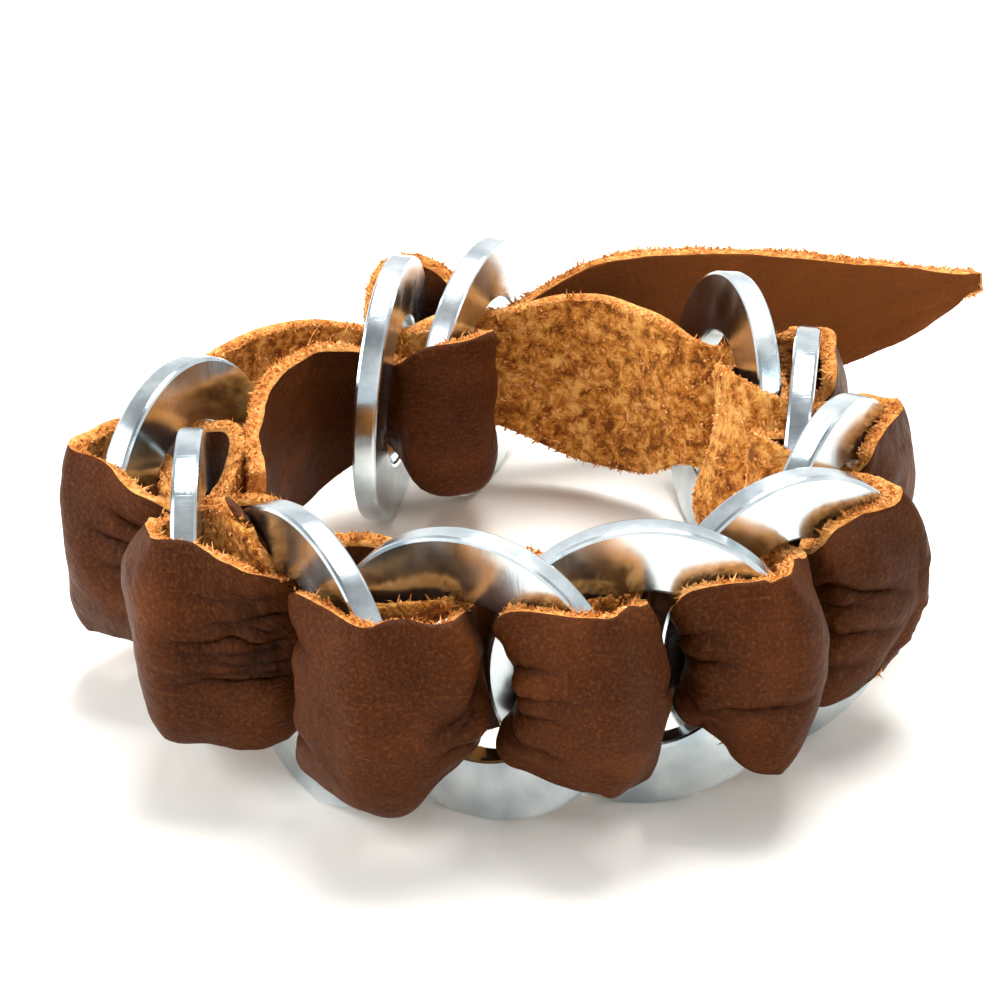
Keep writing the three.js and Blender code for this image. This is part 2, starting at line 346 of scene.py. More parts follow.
# %% Route tables of one overlap
# washer, along its face, out of the ring, half width, bow and curl (how far along and out the two
# edges lie from the middle), lift
LACING_INSIDE = [
    ("next", -19.2, 1.0, 9.2, 0.6, 0.0, 0.2),
    ("next", -17.8, -3.2, 10.2, 0.0, 0.0, 0.3),
    ("next", -13.4, -4.8, 10.6, 0.0, 0.0, 0.2),
    ("next", -9.8, -4.0, 8.8, 1.2, -0.6, 0.0),
    ("next", -7.6, -2.0, 7.5, 3.5, 0.0, 0.0),
    ("next", -7.3, 0.0, 7.5, 3.6, 0.0, 0.0),
    ("next", -7.7, 2.2, 8.0, 3.5, 1.0, 0.0),
    ("next", -9.8, 3.0, 8.8, 1.8, 0.6, 0.0),
    ("next", -13.4, 2.9, 5.2, -1.8, 0.0, 0.0),
    ("here", 4.2, 0.2, 7.0, -1.8, 0.0, 0.0),
]
LACING_PUFF = [
    ("here", 4.9, 2.6, 8.4, -2.2, 0.4, 0.0),
    ("here", 5.4, 4.4, 10.4, -2.4, -1.2, 0.2),
    ("here", 8.0, 5.2, 10.9, -1.8, -2.0, 0.6),
    ("here", 12.4, 5.2, 10.9, -1.2, -2.5, 0.8),
    ("here", 16.4, 4.2, 10.9, -2.4, -2.2, 0.8),
    ("here", 18.5, 1.8, 10.8, -4.2, -0.8, 0.6),
    ("here", 18.9, -1.6, 10.6, -4.2, -0.4, 0.4),
    ("next", -0.2, 3.2, 9.4, -1.0, 1.2, 0.2),
]
LACING_HOLE = [
    ("next", -0.8, -0.2, 8.3, 0.2, 0.0, 0.0),
]
print("one overlap has", len(LACING_INSIDE + LACING_PUFF + LACING_HOLE), "rows")

# %% Route tables of the two ends
# either as above, or with no washer's name and x and y from the ring's middle
SHORT_END = [
    (None, -27.4, -11.0, 7.6, 0.0, 0.0, 2.4),
    (None, -28.4, -4.6, 8.8, 0.0, 0.0, 1.6),
    (None, -28.6, 3.0, 9.6, 0.0, 0.0, 1.0),
    (None, -28.0, 11.0, 10.0, 0.0, 0.0, 0.6),
    (None, -25.4, 18.6, 10.0, 0.0, 0.0, 0.0),
    (None, -22.4, 24.2, 9.6, 0.0, 0.0, 0.0),
    (None, -18.4, 27.2, 7.8, 0.0, 0.0, 0.0),
    ("left", -3.9, 0.0, 5.7, 2.0, 0.0, 0.0),
    (None, -11.8, 24.2, 5.9, 0.0, 0.0, 0.0),
    (None, -9.8, 22.0, 9.8, 0.0, 0.0, 0.2),
    (None, -5.4, 22.6, 10.4, 0.0, 0.0, 0.3),
    (None, -1.8, 25.6, 10.2, 0.0, 0.0, 0.2),
    (None, -1.2, 29.6, 8.8, 0.0, 0.0, 0.0),
    ("right", -4.5, 0.0, 5.8, 1.9, 0.0, 0.0),
    (None, -8.6, 33.2, 7.6, 0.0, 0.0, 0.0),
    ("left", 0.5, 0.0, 7.2, 0.2, 0.0, 0.0),
    (None, -18.6, 32.4, 8.4, 0.0, 0.0, 0.4),
    (None, -24.6, 29.6, 9.6, 0.0, 0.0, 0.6),
    (None, -30.8, 24.8, 10.0, 0.0, 0.0, 0.6),
    (None, -35.6, 18.4, 10.0, 0.0, 0.0, 0.4),
    (None, -39.0, 11.0, 9.4, 0.0, 0.0, 0.0),
    ("first", -1.4, 3.2, 8.2, 0.0, 0.0, 0.0),
    ("first", -1.0, -0.2, 6.8, 0.5, 0.0, 0.0),
]
LONG_END = [
    ("last", 1.4, -3.8, 7.6, 0.0, 0.0, 0.0),
    (None, 20.6, 29.8, 10.8, 0.0, 0.0, -0.4),
    (None, 15.2, 34.4, 11.5, 0.0, 0.0, -0.8),
    (None, 9.4, 37.0, 11.5, 0.0, 0.0, -0.8),
    (None, 3.4, 38.2, 9.0, 0.0, 0.0, -0.4),
    ("right", 0.4, 0.0, 7.2, 0.0, 0.0, 0.0),
    (None, -8.2, 37.8, 7.2, 0.0, 0.0, 0.0),
    ("left", 4.8, 0.0, 6.0, -2.0, 0.0, 0.0),
    (None, -16.6, 40.0, 7.4, 0.0, 0.0, 0.0),
    (None, -15.9, 46.4, 9.8, 0.0, 0.0, 0.0),
    (None, -12.4, 50.8, 10.2, 0.0, 0.0, 0.0),
    (None, -7.8, 49.2, 9.6, 0.0, 0.0, 0.0),
    (None, -5.2, 44.8, 7.8, 0.0, 0.0, 0.0),
    ("right", 4.6, 0.0, 5.8, -1.8, 0.0, 0.0),
    (None, 4.6, 44.0, 7.8, 0.0, 0.0, 0.0),
    (None, 12.6, 47.4, 11.0, 0.0, 0.0, 0.0),
    (None, 23.0, 49.6, 11.5, 0.0, 0.0, -0.2),
    (None, 34.0, 49.4, 11.5, 0.0, 0.0, -0.2),
    (None, 43.0, 47.6, 8.2, 0.0, 0.0, 3.0),
    (None, 52.0, 45.2, 5.4, 0.0, 0.0, 5.8),
    (None, 62.0, 42.4, 1.0, 0.0, 0.0, 10.2),
]
HALF_WIDTH = 11.5      # of the strap as it was cut
POINT_LENGTH = 24.0    # of the free end, where it is cut to a point
PUFF_STEP = 0.45       # between stations where the strap shows outside the ring
PLAIN_STEP = 1.35      # and elsewhere
CROSSWAYS = 48         # squares across the strap
print("the ends have", len(SHORT_END), "and", len(LONG_END), "rows")

# %% [markdown]
# ## From the rows to a surface
# The curve is a Catmull-Rom one, whose rows are spaced by the square root of their distance, so that
# it doesn't swing out where two rows are close. All the other values of a row ride on the same
# curve. Stations along it are close together only on the puffs, where the pleats need them.


# %% Rows in space
def place_row(row, washers_here, puff):
    """A row as nine numbers: middle, what its edges are moved by, and up times half its width."""
    washer, first, second, half, bow, curl, lift = row
    if washer is None:
        middle = ring_middle + np.array([first, second, WASHER_RADIUS + lift])
        along, out, up = np.eye(3)
    else:
        spot = washers_here[washer]
        middle, along, out, up = spot.at(first, second, lift), spot.along, spot.out, spot.up
    return {"values": np.concatenate([middle, along * bow + out * curl, up * half]), "puff": puff}


ends = {"left": closure[0], "right": closure[1], "first": threaded[0], "last": threaded[-1]}
rows = [place_row(row, ends, None) for row in SHORT_END]
for number, (here, following) in enumerate(zip(threaded[:-1], threaded[1:])):
    pair = {"here": here, "next": following}
    rows += [place_row(row, pair, None) for row in LACING_INSIDE]
    rows += [place_row(row, pair, number) for row in LACING_PUFF]
    rows += [place_row(row, pair, None) for row in LACING_HOLE]
rows += [place_row(row, ends, None) for row in LONG_END]
print(len(rows), "rows along the route")


# %% Stations along the route
def catmull_rom(before, start, end, after, gaps, t):
    """A point of the curve from start to end, at t from 0 to 1."""
    lead, here, follow = gaps
    leave = ((start - before) / lead - (end - before) / (lead + here) + (end - start) / here) * here
    arrive = ((end - start) / here - (after - start) / (here + follow) + (after - end) / follow) * here
    t = t[:, None]
    return ((2 * t ** 3 - 3 * t ** 2 + 1) * start + (t ** 3 - 2 * t ** 2 + t) * leave
            + (3 * t ** 2 - 2 * t ** 3) * end + (t ** 3 - t ** 2) * arrive)


values = np.array([row["values"] for row in rows])
padded = np.vstack([2 * values[0] - values[1], values, 2 * values[-1] - values[-2]])
root_gap = np.sqrt(np.linalg.norm(np.diff(padded[:, :3], axis=0), axis=1))
stations, puff_of = [], []
for k in range(len(rows) - 1):
    on_puff = rows[k]["puff"] is not None and rows[k + 1]["puff"] == rows[k]["puff"]
    length = root_gap[k + 1] ** 2
    steps = max(2, math.ceil(length / (PUFF_STEP if on_puff else PLAIN_STEP)))
    t = np.arange(steps) / steps
    stations.append(catmull_rom(*padded[k:k + 4], root_gap[k:k + 3], t))
    puff_of += [rows[k]["puff"] if on_puff else -1] * steps
stations = np.vstack(stations + [values[-1:]])
puff_of = np.array(puff_of + [-1])
middle, edge_shift, rise = stations[:, :3], stations[:, 3:6], stations[:, 6:9]
reach = np.concatenate([[0.0], np.cumsum(np.linalg.norm(np.diff(middle, axis=0), axis=1))])
print(len(stations), "stations,", round(reach[-1]), "mm of strap")

# %% Surface of the strap
across = np.linspace(-1.0, 1.0, CROSSWAYS + 1)
surface = (middle[:, None] + rise[:, None] * across[None, :, None]
           + edge_shift[:, None] * across[None, :, None] ** 2)


def surface_normals(points):
    """The grain side's direction at each point of a station-by-column surface."""
    normals = np.cross(np.gradient(points, axis=0), np.gradient(points, axis=1))
    return normals / np.maximum(np.linalg.norm(normals, axis=2), 1e-9)[:, :, None]


print("surface of", surface.shape[0], "by", surface.shape[1], "points")

# %% [markdown]
# ## Pleats and wrinkles
# Leather that is 23 mm wide can only go through a 19 mm hole if it folds, so deep pleats run from
# each hole into the puff and fade out. A pleat is drawn as a line on the strap: the leather sinks
# along it and swells on both sides. It starts a little before the puff's end, so that no pleat stops
# short there. Smaller unevenness, which all soft leather has, is noise.
# Sculpting by hand would also do, but a table of pleats and one of grabs can be read and changed.

# %% Pleat table
THICKNESS = 1.8            # of the leather
# puff, then the pinched end and the free end of the pleat as (share of the puff's length, place
# across from -1 to 1), width and depth in mm
PLEATS = [
    (0, (1.00, 0.55), (0.76, 0.62), 0.8, 1.0),
    (0, (1.00, 0.32), (0.70, 0.38), 0.9, 1.3),
    (0, (1.00, 0.08), (0.72, 0.08), 0.8, 1.0),
    (0, (1.00, -0.18), (0.78, -0.22), 0.8, 0.7),
    (1, (1.00, 0.72), (0.80, 0.70), 0.7, 0.6),
    (1, (1.00, 0.54), (0.80, 0.44), 0.7, 1.2),
    (1, (1.00, 0.27), (0.52, 0.17), 0.7, 1.6),
    (1, (1.00, 0.03), (0.60, 0.00), 0.6, 1.3),
    (1, (1.00, -0.16), (0.54, -0.24), 0.7, 1.4),
    (1, (1.00, 0.41), (0.66, 0.34), 0.5, 0.8),
    (1, (1.00, 0.13), (0.50, 0.07), 0.5, 0.9),
    (1, (1.00, -0.06), (0.48, -0.13), 0.5, 0.8),
    (1, (0.96, 0.64), (0.62, 0.60), 0.5, 0.5),
    (2, (0.02, 0.60), (0.22, 0.48), 1.0, 1.1),
    (2, (0.02, -0.48), (0.26, -0.52), 1.0, 1.2),
    (2, (1.00, 0.30), (0.72, -0.15), 1.6, 2.4),
    (2, (1.00, -0.40), (0.76, -0.36), 0.9, 1.3),
    (2, (0.95, 0.05), (0.80, -0.30), 0.8, 0.8),
    (3, (0.00, 0.45), (0.32, 0.50), 0.8, 1.0),
    (3, (0.00, 0.16), (0.40, 0.20), 0.6, 0.8),
    (3, (0.00, -0.05), (0.36, 0.00), 0.7, 0.8),
    (3, (0.00, -0.50), (0.36, -0.52), 0.8, 1.1),
    (3, (1.00, 0.10), (0.82, 0.15), 1.0, 1.0),
    (4, (0.00, 0.34), (0.26, 0.20), 0.7, 0.9),
    (4, (0.00, -0.36), (0.62, -0.22), 0.7, 1.2),
    (4, (0.00, -0.55), (0.32, -0.50), 0.7, 0.6),
    (4, (0.00, 0.60), (0.22, 0.50), 0.7, 0.5),
    (5, (0.00, 0.42), (0.46, -0.05), 0.8, 1.5),
    (5, (0.00, -0.20), (0.42, -0.36), 0.7, 0.9),
    (5, (0.00, 0.20), (0.30, -0.08), 0.6, 0.8),
    (5, (0.00, -0.60), (0.30, -0.60), 0.7, 0.6),
    (6, (0.00, 0.40), (0.30, 0.30), 0.9, 1.0),
    (6, (0.00, -0.20), (0.30, -0.20), 0.9, 1.0),
    (7, (0.00, 0.30), (0.35, 0.20), 0.9, 1.0),
    (7, (1.00, 0.10), (0.70, 0.10), 0.9, 1.0),
]
print(len(PLEATS), "pleats")

# %% Grab table
# Grabs, as a hand would push the leather: puff, share of its length and place across where it is
# grabbed, how far the grab reaches in the same two, and the move along, out and up in mm. A share
# below 0 or above 1 is on the folds just before or after the puff. Across, 1 is the upper edge.
GRABS = [
    (0, 0.45, 0.0, 0.50, 1.5, (0.0, 0.5, 0.0)),
    (0, 0.50, 1.0, 0.40, 0.6, (-0.5, 2.6, 0.0)),
    (0, 0.50, -1.0, 0.35, 0.6, (0.0, 3.4, -0.8)),
    (1, 0.75, 1.0, 0.50, 0.6, (0.0, 0.6, 1.5)),
    (1, 0.75, -1.0, 0.50, 0.6, (0.0, 0.6, -1.6)),
    (1, 0.20, 0.55, 0.25, 0.4, (0.0, 1.6, 0.0)),
    (1, 0.40, -1.0, 0.25, 0.5, (1.2, 0.2, 1.0)),
    (1, -0.29, 1.0, 0.22, 0.9, (0.4, -0.6, 8.0)),
    (1, 0.12, 1.0, 0.14, 0.5, (0.0, 0.0, -2.4)),
    (2, -0.52, 1.0, 0.20, 0.5, (3.4, 0.0, 3.1)),
    (2, 1.08, 1.0, 0.12, 0.5, (-1.2, 0.0, 0.4)),
    (2, 0.30, -1.0, 0.20, 0.5, (-0.4, 0.6, 0.6)),
    (2, 0.62, -1.0, 0.40, 0.5, (0.4, 0.0, -1.4)),
    (2, 0.74, -1.0, 0.16, 0.5, (0.6, 0.8, -0.6)),
    (2, 0.52, -1.0, 0.10, 0.5, (0.0, 0.0, 1.0)),
    (2, 0.45, 1.0, 0.25, 0.4, (1.5, 0.0, 0.0)),
    (2, 0.08, 0.0, 0.25, 1.5, (1.3, 0.0, 0.0)),
    (2, 0.94, 0.2, 0.16, 1.1, (5.2, 0.3, 0.0)),
    (2, 0.92, -1.0, 0.16, 0.6, (0.0, 0.0, 2.6)),
    (3, -0.50, 1.0, 0.20, 0.5, (0.6, 0.0, 2.6)),
    (3, 1.08, 1.0, 0.12, 0.5, (-1.2, 0.0, 0.4)),
    (3, 0.10, 0.0, 0.35, 1.5, (2.6, -0.4, 0.0)),
    (3, 0.10, -1.0, 0.25, 0.5, (0.0, -1.0, 2.4)),
    (3, 0.70, -1.0, 0.30, 0.5, (2.0, 0.6, 0.0)),
    (3, 0.60, 1.0, 0.30, 0.4, (1.5, 0.0, 0.3)),
    (3, 0.55, -1.0, 0.25, 0.5, (0.0, 0.0, 1.4)),
    (3, 0.80, 0.0, 0.30, 1.5, (0.5, 0.0, 0.0)),
    (3, 0.92, 0.2, 0.13, 1.5, (1.4, 0.0, 0.0)),
    (4, 0.10, -1.0, 0.25, 0.5, (1.0, -1.5, 4.6)),
    (4, 0.46, -1.0, 0.26, 0.5, (-0.6, 0.6, -1.0)),
    (4, 0.75, -1.0, 0.25, 0.5, (0.6, 2.0, -0.6)),
    (4, 0.34, -1.0, 0.14, 0.5, (-0.6, 0.0, -1.0)),
    (4, 0.05, 0.0, 0.20, 1.2, (0.8, 0.0, 0.0)),
    (5, 0.50, 0.0, 0.40, 1.5, (-1.0, -1.3, 0.0)),
    (5, 0.55, -1.0, 0.35, 0.5, (-2.2, 0.4, 0.9)),
    (5, 0.22, -1.0, 0.20, 0.5, (0.0, 0.2, -1.0)),
    (5, 1.38, 0.0, 0.16, 3.0, (0.0, 0.0, 1.8)),
    (6, -0.66, 1.0, 0.12, 0.7, (0.0, 0.0, -1.5)),
    (6, 0.50, 0.0, 0.50, 1.5, (-0.8, -0.7, 0.0)),
    (7, 0.50, 0.0, 0.50, 1.5, (0.0, -0.6, 0.0)),
]
print(len(GRABS), "grabs")


# %% Grabs and pleats
def grab(points, number, share, place, share_reach, place_reach, move):
    """Moves the leather most where it is grabbed, and less and less away from there."""
    start, end = np.flatnonzero(puff_of == number)[[0, -1]]
    along_share = (reach - reach[start]) / (reach[end] - reach[start])
    pull = np.exp(-((along_share[:, None] - share) / share_reach) ** 2
                  - ((across[None, :] - place) / place_reach) ** 2)
    washer = threaded[number]
    points += pull[:, :, None] * (washer.at(*move) - washer.centre)


def add_pleat(sink, painted_pleat_shade, number, pinch, free, width, depth, past_end=3, sway=0.8):
    """Sinks the leather along a wavy line, which is deepest at its pinched end."""
    start, end = np.flatnonzero(puff_of == number)[[0, -1]]
    length = reach[end] - reach[start]
    at = np.arange(max(start - past_end, 0), end + past_end + 1)
    wave = [sway * noise.noise((r / 3.0, 4.0 * pinch[1], number)) for r in reach[at]]
    x, y = np.meshgrid(reach[at] - reach[start], across * HALF_WIDTH, indexing="ij")
    y += np.array(wave)[:, None]
    root = np.array([pinch[0] * length, pinch[1] * HALF_WIDTH])
    line = np.array([free[0] * length, free[1] * HALF_WIDTH]) - root
    t = np.clip(((x - root[0]) * line[0] + (y - root[1]) * line[1]) / (line @ line), 0, 1)
    away = np.hypot(x - root[0] - t * line[0], y - root[1] - t * line[1])
    fade = (1 - t) ** 0.7
    valley = np.exp(-(away / width) ** 1.3) * fade
    swell = np.exp(-((away - 2.3 * width) / (1.3 * width)) ** 2) * fade
    sink[at] += depth * (0.2 * swell - valley)
    # Painted shade: the valley is kept, to darken the grain colour along the pleat.
    painted_pleat_shade[at] = np.maximum(painted_pleat_shade[at], valley * min(1.0, depth))


def rumple(size, height, seed):
    """Gentle unevenness all over the strap: hills of one size in mm, in the strap's own plane."""
    u, v = np.meshgrid(reach / size, across * HALF_WIDTH / size, indexing="ij")
    flat = [noise.noise((x, y, seed)) for x, y in zip(u.ravel(), v.ravel())]
    return height * np.array(flat).reshape(u.shape)


# %% Clear of the steel, and smooth
CLEARANCE = 0.12       # between the leather's skin and the steel


def press_off_steel(points, gap=THICKNESS / 2 + CLEARANCE):
    """Moves leather that is too close to a washer straight away from the steel."""
    for spot in threaded + closure:
        offset = points - spot.centre
        out, along, up = offset @ spot.out, offset @ spot.along, offset @ spot.up
        radius = np.hypot(along, up)
        limb = (WASHER_RADIUS + HOLE_RADIUS) / 2
        side = radius - limb
        over = np.abs(side) - (WASHER_RADIUS - HOLE_RADIUS) / 2
        above = np.abs(out) - WASHER_HALF
        corner = np.hypot(np.maximum(over, 0), np.maximum(above, 0))
        distance = corner + np.minimum(np.maximum(over, above), 0)
        push = np.maximum(gap - distance, 0)
        at_corner = corner > 1e-6
        side_share = np.where(at_corner, np.maximum(over, 0) / np.maximum(corner, 1e-6), over > above)
        out_share = np.where(at_corner, np.maximum(above, 0) / np.maximum(corner, 1e-6), over <= above)
        radial = (push * side_share * np.sign(side) / np.maximum(radius, 1e-6))[..., None]
        points += radial * (along[..., None] * spot.along + up[..., None] * spot.up)
        points += (push * out_share * np.sign(out))[..., None] * spot.out
    return points


def ease(points, rounds=8):
    """Evens out small steps in the surface, and along its edges."""
    for _ in range(rounds):
        near = (points[:-2, 1:-1] + points[2:, 1:-1] + points[1:-1, :-2] + points[1:-1, 2:]) / 4
        points[1:-1, 1:-1] += 0.5 * (near - points[1:-1, 1:-1])
        for edge in (0, -1):
            points[1:-1, edge] += 0.25 * (points[:-2, edge] + points[2:, edge] - 2 * points[1:-1, edge])
    return points


# %% Shape the puffs
sink = rumple(6.0, 0.45, 3.0) + rumple(2.4, 0.16, 8.0)
# painted shade along the pleats, for the grain colour
painted_pleat_shade = np.zeros(surface.shape[:2])
for *where, move in GRABS:
    grab(surface, *where, move)
for pleat in PLEATS:
    add_pleat(sink, painted_pleat_shade, *pleat)
surface = ease(press_off_steel(surface))
surface += surface_normals(surface) * sink[:, :, None]
surface = press_off_steel(surface)
print("the deepest pleat is", round(float(-sink.min()), 1), "mm")

# %% [markdown]
# ## The strap as a mesh
# A flat strip comes first, as the leather was cut, one square for each step along and across. Each
# of its points goes to its place on the route. The UV map keeps the point's place on the flat strip
# in metres, so the grain follows the leather through every fold. A Solidify modifier gives the
# leather its thickness, with one material for the grain side, one for the flesh side and one for
# the cut edge.

# %% Strip, moved to its route
bm = bmesh.new()
uv_layer = bm.loops.layers.uv.new("cut_strip")
bmesh.ops.create_grid(bm, x_segments=len(stations) - 1, y_segments=CROSSWAYS, size=1.0,
                      calc_uvs=False)
bm.verts.ensure_lookup_table()
places = np.array([v.co for v in bm.verts])
station_of = np.rint((places[:, 0] + 1) / 2 * (len(stations) - 1)).astype(int)
column_of = np.rint((places[:, 1] + 1) / 2 * CROSSWAYS).astype(int)
for vert, i, j in zip(bm.verts, station_of, column_of):
    vert.co = surface[i, j] * MM
strip_half = np.where(reach > reach[-1] - POINT_LENGTH, np.linalg.norm(rise, axis=1), HALF_WIDTH)
for face in bm.faces:
    for loop in face.loops:
        i, j = station_of[loop.vert.index], column_of[loop.vert.index]
        loop[uv_layer].uv = (reach[i] * MM, across[j] * strip_half[i] * MM)
strap = add_piece("leather_strap", bm)
strap.data.shade_smooth()
# The painted shade of the pleats goes to the grain material as a point attribute.
painted_pleat_shade_layer = strap.data.attributes.new("painted_pleat_shade", "FLOAT", "POINT")
painted_pleat_shade_layer.data.foreach_set("value", painted_pleat_shade[station_of, column_of])
solid = strap.modifiers.new("leather_thickness", "SOLIDIFY")
solid.thickness = THICKNESS * MM
solid.offset = 0.0
solid.material_offset = 1
solid.material_offset_rim = 2
solid.use_flat_faces = False
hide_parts("strap")
print("strap has", len(strap.data.polygons), "squares")

# %% [markdown]
# ## Full-grain leather, waxed
# The grain side is the outside of the hide. It has a fine pebble of pores under a millimetre apart,
# is painted near black in the valleys of its pleats as painted shade, and has paler hair lines where
# it is rubbed. Wax has soaked in, so it is dark and only faintly satin. The pattern follows the UV
# map, so a pore is as large in a pleat as on a flat. The tail is painted paler, as painted light.

# %% Grain side: colour
PORE = 0.75
TAIL_START = float(reach[-1]) - 75.0
TAIL_FULL = float(reach[-1]) - 55.0
grain, shader = new_material("waxed_full_grain_leather")
flat_place = add_node(grain, "ShaderNodeUVMap", uv_map="cut_strip").outputs["UV"]
painted_pleat_shade_in = add_node(grain, "ShaderNodeAttribute", attribute_name="painted_pleat_shade").outputs["Fac"]
patch = add_node(grain, "ShaderNodeTexNoise", {"Scale": scale_for(9), "Detail": 3.0},
                 {"Vector": flat_place}).outputs["Fac"]
mottle = add_node(grain, "ShaderNodeTexNoise",
                  {"Scale": scale_for(0.45), "Detail": 5.0, "Roughness": 0.65},
                  {"Vector": flat_place}).outputs["Fac"]
browns = ramp(grain, patch, [(0.30, "#351808"), (0.55, "#4A240D"), (0.75, "#6A381A")])
flecks = ramp(grain, mottle, [(0.33, "#2C1306"), (0.52, "#4A250D"), (0.72, "#784A22")])
tone = mix(grain, 0.5, browns, flecks)
run_length = add_node(grain, "ShaderNodeSeparateXYZ", links={"Vector": flat_place}).outputs["X"]
# Painted light: the tail is painted paler and more orange, from 75 mm before its point, and fully from
# 55 mm.
tail_painted_light = add_node(grain, "ShaderNodeMapRange",
                      {"From Min": TAIL_START * MM, "From Max": TAIL_FULL * MM, "To Max": 0.45},
                      {"Value": run_length}).outputs["Result"]
tone = mix(grain, tail_painted_light, tone, "#8C4C1E")
stretched = add_node(grain, "ShaderNodeMapping",
                     {"Scale": (scale_for(2.4), scale_for(0.3), 1.0), "Rotation": (0.0, 0.0, 0.5)},
                     {"Vector": flat_place}).outputs["Vector"]
hairs = add_node(grain, "ShaderNodeTexNoise", {"Scale": 1.0, "Detail": 2.0, "Distortion": 0.6},
                 {"Vector": stretched}).outputs["Fac"]
scuff = add_node(grain, "ShaderNodeMapRange", {"From Min": 0.68, "From Max": 0.82, "To Max": 0.45},
                 {"Value": hairs}).outputs["Result"]
tone = mix(grain, scuff, tone, "#8A5A32")
# Painted shade: the pleats' valleys are painted near black.
painted_fold_shade = calculate(grain, "MULTIPLY", painted_pleat_shade_in, 1.2, use_clamp=True)
tone = mix(grain, painted_fold_shade, tone, "#100603")
grain.node_tree.links.new(tone, shader.inputs["Base Color"])
print("the tail grows paler from", round(TAIL_START), "mm")

# %% Grain side: gloss and relief
satin = add_node(grain, "ShaderNodeMapRange",
                 {"From Min": 0.3, "From Max": 0.7, "To Min": 0.36, "To Max": 0.58},
                 {"Value": mottle})
grain.node_tree.links.new(satin.outputs["Result"], shader.inputs["Roughness"])
shader.inputs["IOR"].default_value = 1.48
shader.inputs["Specular IOR Level"].default_value = 0.06
pores = add_node(grain, "ShaderNodeTexVoronoi", {"Scale": scale_for(PORE)}, {"Vector": flat_place},
                 feature="SMOOTH_F1").outputs["Distance"]
lines = add_node(grain, "ShaderNodeTexNoise",
                 {"Scale": scale_for(2.6), "Detail": 7.0, "Roughness": 0.62, "Distortion": 0.8},
                 {"Vector": flat_place}).outputs["Fac"]
pore_bump = add_node(grain, "ShaderNodeBump", {"Strength": 0.6, "Distance": 0.16 * MM},
                     {"Height": pores})
line_bump = add_node(grain, "ShaderNodeBump", {"Strength": 0.8, "Distance": 0.6 * MM},
                     {"Height": lines, "Normal": pore_bump.outputs["Normal"]})
grain.node_tree.links.new(line_bump.outputs["Normal"], shader.inputs["Normal"])
print("grain pores are", PORE, "mm apart")

# %% [markdown]
# ## The flesh side and the cut edges
# The flesh side is the inside of the hide, left rough: a mat of loose tan fibres in clumps of a
# millimetre or two, painted bright on top and brown in between as painted light and shade, and
# quite without gloss. The cut edge shows the same fibres end on, painted alike, a little paler.


# %% Suede and edge materials
def fibrous_leather(name, dark, middle_tone, pale, clump, depth):
    """A matt mat of fibres, in clumps of one size in mm, painted light on top and shaded between."""
    made, shader = new_material(name)
    where = add_node(made, "ShaderNodeTexCoord").outputs["Object"]
    clumps = add_node(made, "ShaderNodeTexNoise",
                      {"Scale": scale_for(clump), "Detail": 5.0, "Roughness": 0.75,
                       "Distortion": 0.4}, {"Vector": where}).outputs["Fac"]
    patches = add_node(made, "ShaderNodeTexNoise", {"Scale": scale_for(6), "Detail": 2.0},
                       {"Vector": where}).outputs["Fac"]
    blend = calculate(made, "ADD", calculate(made, "MULTIPLY", clumps, 0.75),
                      calculate(made, "MULTIPLY", patches, 0.25))
    # Painted light and shade: the clumps' height, which also drives the bump, runs from the dark colour
    # between them to the pale one on top; the larger patches are the fibres' own tone.
    tone = ramp(made, blend, [(0.41, dark), (0.50, middle_tone), (0.59, pale)])
    made.node_tree.links.new(tone, shader.inputs["Base Color"])
    shader.inputs["Roughness"].default_value = 0.95
    shader.inputs["Specular IOR Level"].default_value = 0.15
    shader.inputs["Sheen Weight"].default_value = 0.25
    shader.inputs["Sheen Tint"].default_value = colour("#F0B878")
    bump = add_node(made, "ShaderNodeBump", {"Strength": 0.9, "Distance": depth * MM},
                    {"Height": clumps})
    made.node_tree.links.new(bump.outputs["Normal"], shader.inputs["Normal"])
    return made


# all three are painted dark between their clumps and pale on top, as painted shade and light
flesh = fibrous_leather("raw_suede_flesh_side", "#743C10", "#C87C2E", "#F6B862", 1.5, 1.0)
cut = fibrous_leather("raw_cut_edge", "#A8622A", "#D88E44", "#F0B068", 0.8, 0.4)
fuzz = fibrous_leather("loose_leather_fibre", "#A8642A", "#E0964A", "#F6C080", 1.2, 0.2)
for material in (grain, flesh, cut):
    strap.data.materials.append(material)
print("strap has", [material.name for material in strap.data.materials])

# %% [markdown]
# ## Fuzz
# What makes raw leather look raw is its loose fibres: they stand off every cut edge and lie in
# tufts on the flesh side. Hair curves would do in a render but not in an exported mesh, so each
# fibre is a small bent spike with three sides, as thick as a bundle of real ones so that it shows.
# One is extruded from a triangle, and thousands of copies of it are bent to their places in one
# mesh.


# %% One spike, and many
def spikes(count):
    """Copies of one closed spike: a triangle at z 0, a knee at z 1 and a tip at z 2."""
    bm = bmesh.new()
    bmesh.ops.create_circle(bm, cap_ends=True, radius=1.0, segments=3)
    knee = bmesh.ops.extrude_face_region(bm, geom=list(bm.faces))["geom"]
    knee_verts = [part for part in knee if isinstance(part, bmesh.types.BMVert)]
    bmesh.ops.translate(bm, verts=knee_verts, vec=(0.0, 0.0, 1.0))
    knee_face = [part for part in knee if isinstance(part, bmesh.types.BMFace)]
    tip = bmesh.ops.poke(bm, faces=knee_face)["verts"]
    bmesh.ops.translate(bm, verts=tip, vec=(0.0, 0.0, 1.0))
    bmesh.ops.recalc_face_normals(bm, faces=list(bm.faces))
    parts = len(bm.verts), len(bm.edges), len(bm.faces)
    done = 1
    while done < count:
        more = min(done, count - done)
        for kind in (bm.verts, bm.edges, bm.faces):
            kind.ensure_lookup_table()
        copied = bm.verts[:more * parts[0]] + bm.edges[:more * parts[1]] + bm.faces[:more * parts[2]]
        bmesh.ops.duplicate(bm, geom=copied)
        done += more
    return bm


